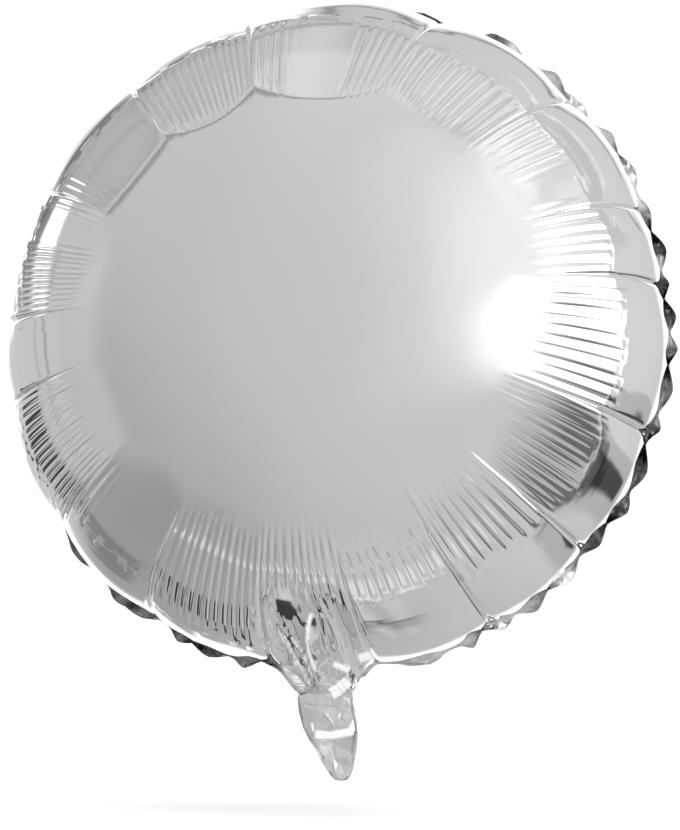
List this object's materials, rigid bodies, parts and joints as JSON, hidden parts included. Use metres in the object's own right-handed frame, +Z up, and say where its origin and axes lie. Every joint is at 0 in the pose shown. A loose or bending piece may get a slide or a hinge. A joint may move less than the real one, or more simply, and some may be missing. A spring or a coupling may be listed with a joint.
{
  "type": "round foil balloon",
  "caption": "Round filled foil balloon of domed panels, with a waved weld margin round its rim and a flat filling tail that folds at the neck.",
  "frame": {"origin": "centre of the rim's circle, midway between the two panels, where the balloon floats in the air", "axes": "+Z up, away from the tail; -Y out of the front panel; +X to the right as seen from the front"},
  "size_m": [0.3598, 0.2078, 0.4117],
  "materials": {
    "front_foil": "mirror-bright aluminised film",
    "back_foil": "mirror-bright aluminised film",
    "weld_foil": "bright aluminised film, dulled by the heat weld",
    "valve_plastic": "clear film"
  },
  "bodies": {
    "envelope": {"front_panel": "front_foil", "back_panel": "back_foil", "rim_weld_margin": "weld_foil"},
    "tail": {"tail_weld": "weld_foil", "tail_front_layer": "front_foil", "tail_back_layer": "back_foil", "valve_film": "valve_plastic"}
  },
  "joints": [
    {"name": "tail_fold", "type": "hinge", "parent": "envelope", "child": "tail", "pos_m": [0, 0, -0.1883], "axis": [1, 0, 0], "range_deg": [-112, 112]}
  ]
}
